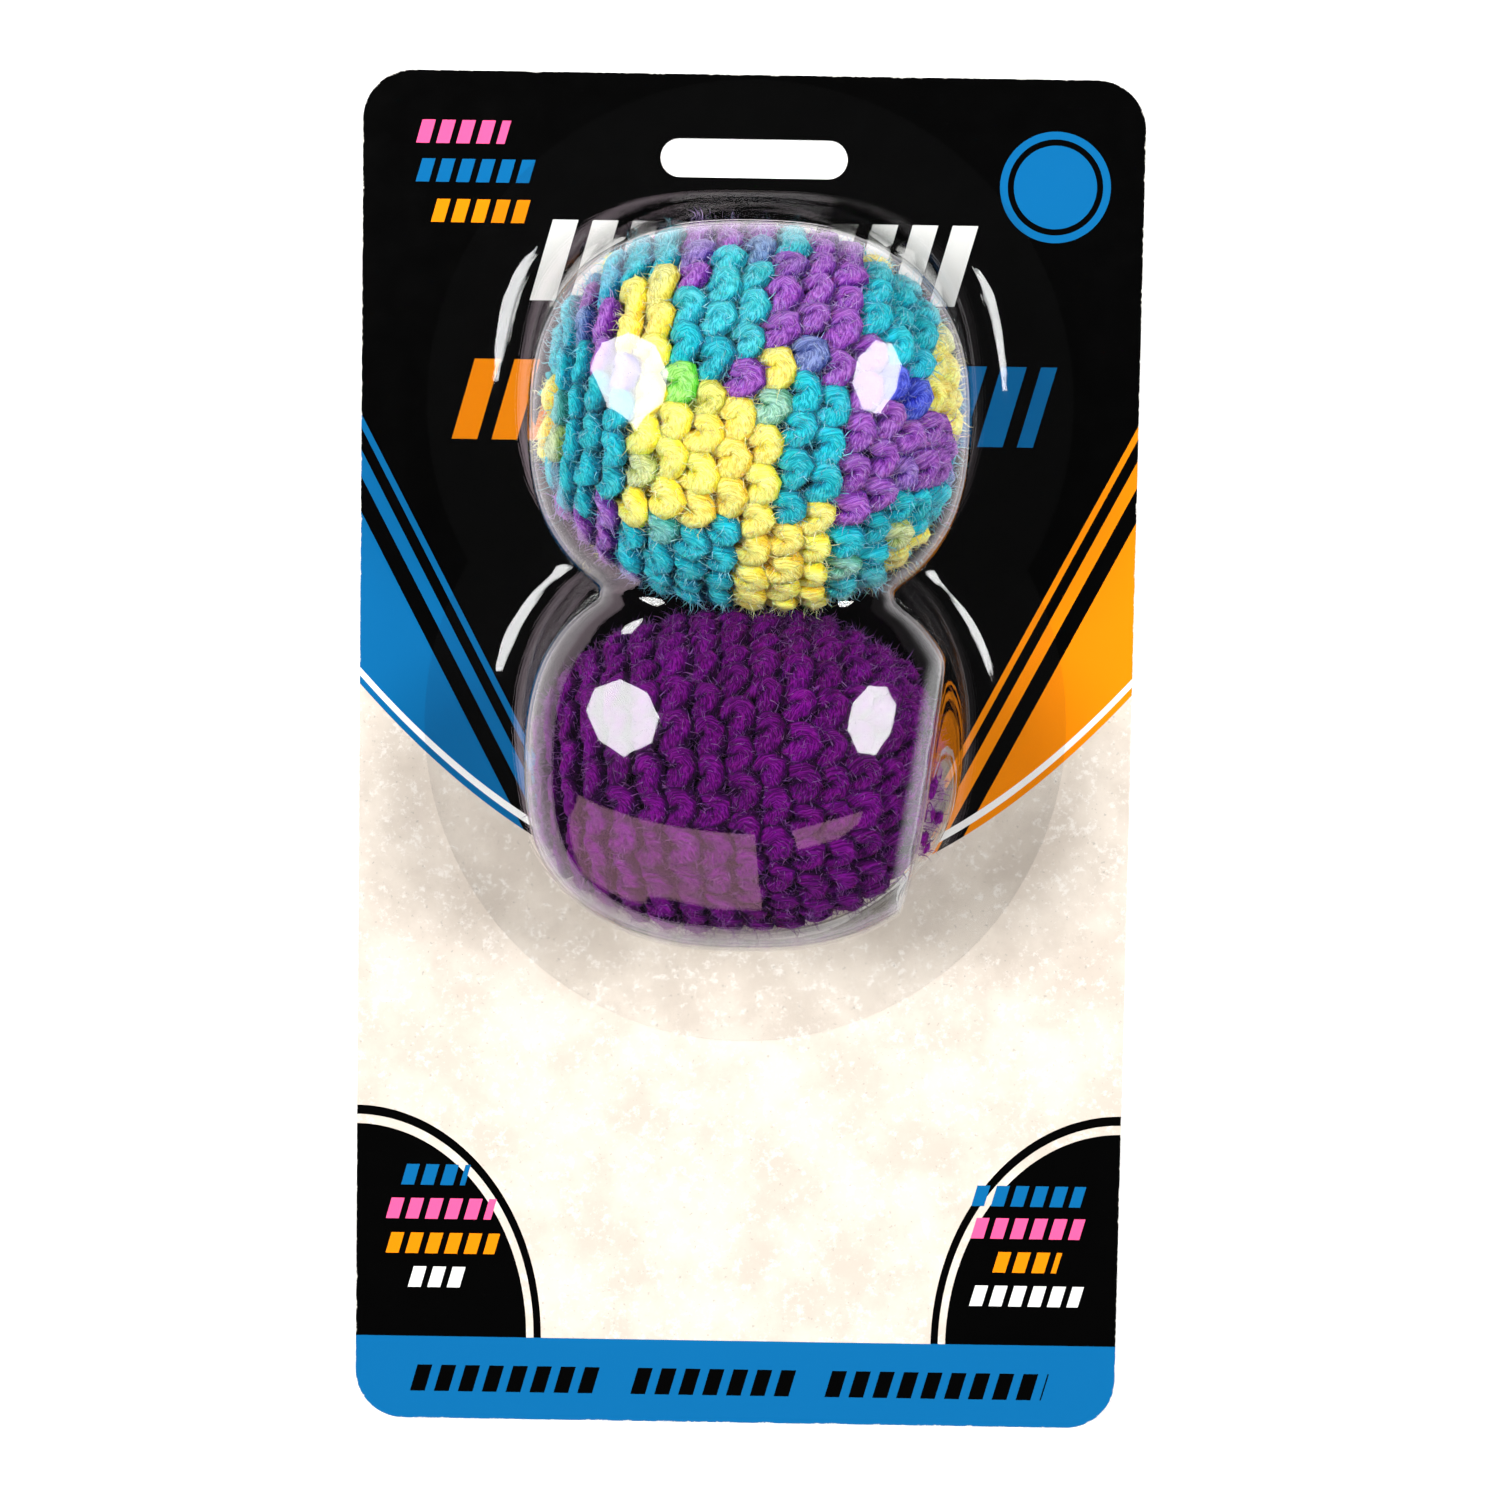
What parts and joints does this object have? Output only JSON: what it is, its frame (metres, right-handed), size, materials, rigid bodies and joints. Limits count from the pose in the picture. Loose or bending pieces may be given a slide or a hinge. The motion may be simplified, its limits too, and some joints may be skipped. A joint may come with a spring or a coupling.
{
  "type": "footbag pack",
  "caption": "Crocheted pellet-filled footbags in a clear twin-dome blister sealed to a printed backing card with a hang slot",
  "frame": {"origin": "middle of the card's back face, which the pack lies on", "axes": "+Z out of the card's printed front, +Y along the card towards the hang slot, +X to the right of someone reading the card"},
  "size_m": [0.1016, 0.179, 0.0511],
  "materials": {
    "printed_board": "offset-printed and varnished paperboard, black with blue, orange and pale grey fields",
    "clear_sheet": "clear vacuum-formed sheet, glossy",
    "variegated_yarn": "fuzzy acrylic yarn in single crochet, teal with purple and yellow stretches",
    "purple_yarn": "fuzzy acrylic yarn in single crochet, deep purple",
    "pouch_cloth": "thin plain-woven lining cloth",
    "pellets": "off-white moulded plastic pellets"
  },
  "bodies": {
    "root": {"backing_card": "printed_board", "blister_shell": "clear_sheet", "upper_crochet_cover": "variegated_yarn", "upper_pellet_pouch": "pouch_cloth", "upper_pellet_fill": "pellets", "upper_closing_knot": "variegated_yarn", "lower_crochet_cover": "purple_yarn", "lower_pellet_pouch": "pouch_cloth", "lower_pellet_fill": "pellets", "lower_closing_knot": "purple_yarn"}
  },
  "joints": []
}
